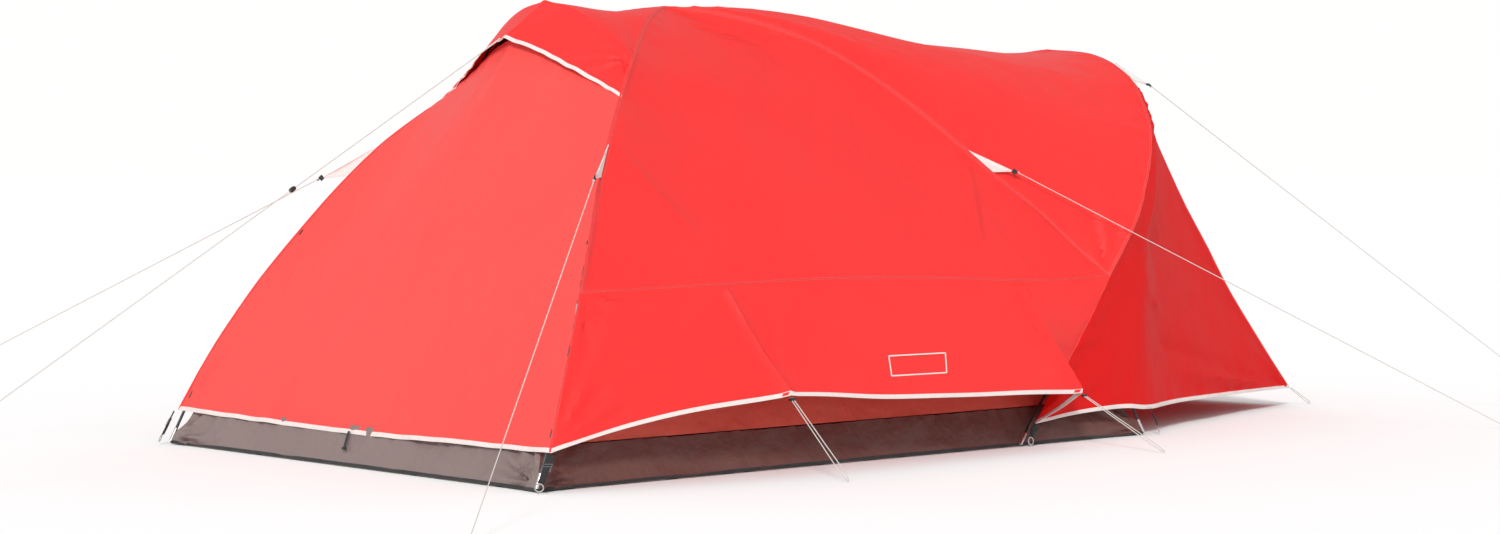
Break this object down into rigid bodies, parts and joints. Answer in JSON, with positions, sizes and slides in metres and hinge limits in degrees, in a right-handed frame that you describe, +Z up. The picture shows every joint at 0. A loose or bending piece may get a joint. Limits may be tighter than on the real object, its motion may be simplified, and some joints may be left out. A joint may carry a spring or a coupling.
{
  "type": "dome tent",
  "caption": "Low red dome tent with a full fly, a hooped front vestibule, lifted side awnings, a grey tub floor and guy lines.",
  "frame": {"origin": "centre of the underside of the floor", "axes": "+X from the rear to the vestibule, +Z up"},
  "size_m": [6.5019, 3.7224, 1.5302],
  "materials": {
    "fly_fabric": "coated ripstop polyester, satin",
    "rear_fabric": "coated ripstop polyester, satin, lit from both sides",
    "webbing": "off-white binding cloth",
    "strap": "black webbing with steel rings",
    "tub_fabric": "grey coated tub cloth",
    "inner_fabric": "pale breathable polyester",
    "mesh_fabric": "black insect mesh",
    "pole": "wrapped glass-fibre rod",
    "hardware": "black acetal",
    "guy_cord": "white braided cord"
  },
  "bodies": {
    "tent": {"awning_line_front_far": "guy_cord", "awning_line_front_near": "guy_cord", "awning_line_rear_far": "guy_cord", "awning_line_rear_near": "guy_cord", "brow_pole": "pole", "corner_tether_front_far": "strap", "corner_tether_front_near": "strap", "corner_tether_rear_far": "strap", "corner_tether_rear_near": "strap", "fly_hood": "fly_fabric", "fly_rear": "rear_fabric", "fly_roof": "fly_fabric", "fly_side_far": "fly_fabric", "fly_side_near": "fly_fabric", "fly_skirt_far": "fly_fabric", "fly_skirt_near": "fly_fabric", "fly_vent_mesh": "mesh_fabric", "guy_brim": "guy_cord", "guy_flap_front_far": "webbing", "guy_flap_front_near": "webbing", "guy_flap_rear_far": "webbing", "guy_flap_rear_near": "webbing", "guy_flap_shoulder_far": "webbing", "guy_flap_shoulder_near": "webbing", "guy_front_far": "guy_cord", "guy_front_near": "guy_cord", "guy_rear_far": "guy_cord", "guy_rear_near": "guy_cord", "guy_shoulder_far": "guy_cord", "guy_shoulder_near": "guy_cord", "inner_wall_far": "inner_fabric", "inner_wall_front": "inner_fabric", "inner_wall_near": "inner_fabric", "inner_wall_rear": "inner_fabric", "main_pole_a_front": "pole", "main_pole_a_rear": "pole", "main_pole_b_front": "pole", "main_pole_b_rear": "pole", "nose_line_far": "guy_cord", "nose_line_near": "guy_cord", "pole_clip_front_far": "hardware", "pole_clip_front_near": "hardware", "pole_clip_rear_far": "hardware", "pole_clip_rear_near": "hardware", "side_tether_far": "strap", "side_tether_near": "strap", "tub_floor": "tub_fabric", "tub_wall_far": "tub_fabric", "tub_wall_front": "tub_fabric", "tub_wall_near": "tub_fabric", "tub_wall_rear": "tub_fabric", "vestibule_front": "fly_fabric", "vestibule_pole": "pole", "vestibule_side_far": "fly_fabric", "vestibule_side_near": "fly_fabric"},
    "vestibule_leaf": {"vestibule_door": "fly_fabric"},
    "inner_leaf": {"inner_door": "mesh_fabric"},
    "vestibule_zip": {"vestibule_zip_slider": "hardware"},
    "inner_zip": {"inner_door_slider": "hardware"},
    "tensioner": {"guy_tensioner": "hardware"}
  },
  "joints": [
    {"name": "vestibule_door_hinge", "type": "hinge", "parent": "tent", "child": "vestibule_leaf", "pos_m": [2.8095, 0.29, 0.0675], "axis": [-0.5378, 0.041, 0.8421], "range_deg": [0, 105]},
    {"name": "inner_door_hinge", "type": "hinge", "parent": "tent", "child": "inner_leaf", "pos_m": [1.3165, 0.53333, 0.13], "axis": [-0.6706, -0.2717, 0.6902], "range_deg": [0, 85]},
    {"name": "vestibule_zip_slide", "type": "slide", "parent": "tent", "child": "vestibule_zip", "axis": [-0.5378, -0.041, 0.8421], "range_m": [0, 1.3]},
    {"name": "inner_zip_slide", "type": "slide", "parent": "tent", "child": "inner_zip", "axis": [-0.6706, 0.2717, 0.6902], "range_m": [0, 1]},
    {"name": "brim_tensioner_slide", "type": "slide", "parent": "tent", "child": "tensioner", "axis": [-0.856, 0, -0.517], "range_m": [-0.5, 1.1]}
  ]
}
